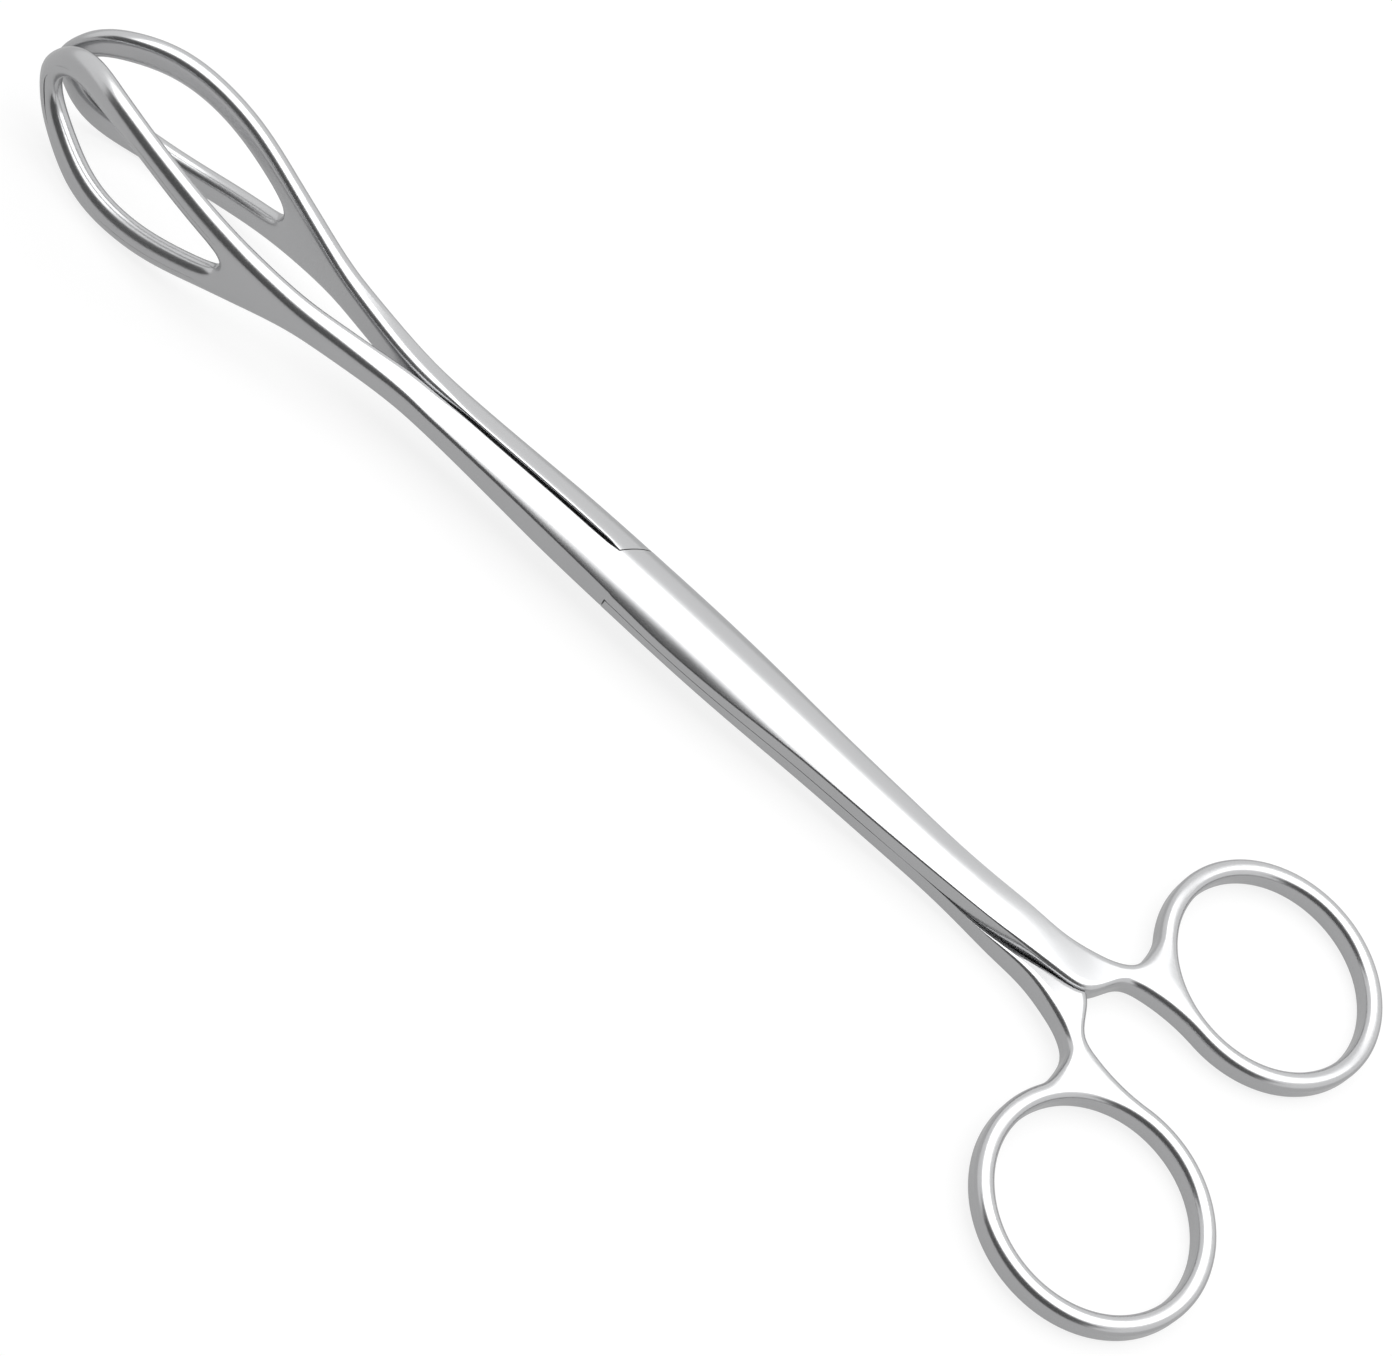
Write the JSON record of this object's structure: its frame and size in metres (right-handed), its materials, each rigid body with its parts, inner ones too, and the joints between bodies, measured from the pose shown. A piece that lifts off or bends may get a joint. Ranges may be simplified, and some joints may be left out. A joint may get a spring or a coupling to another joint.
{
  "type": "ring-handled fenestrated forceps",
  "caption": "Long straight steel forceps with finger rings, a lap lock with a screw, slim shanks and open egg-shaped loop jaws that bow apart.",
  "frame": {"origin": "on the centre line and in the lap plane, in the middle of the closed forceps' length, 4.8 mm from the pivot towards the jaws", "axes": "+X along the centre line towards the finger rings, +Z along the pivot out of the upper arm's crowned face, +Y towards the upper arm's finger ring"},
  "size_m": [0.2384, 0.0894, 0.0234],
  "materials": {
    "arm_steel": "fine satin with polished crowns and rings",
    "screw_steel": "fine turned satin"
  },
  "bodies": {
    "upper": {"upper_arm": "arm_steel", "lock_screw": "screw_steel"},
    "lower": {"lower_arm": "arm_steel"}
  },
  "joints": [
    {"name": "lock_pivot", "type": "hinge", "parent": "upper", "child": "lower", "pos_m": [0.00483, 0, 0], "axis": [0, 0, -1], "range_deg": [0, 38]}
  ]
}
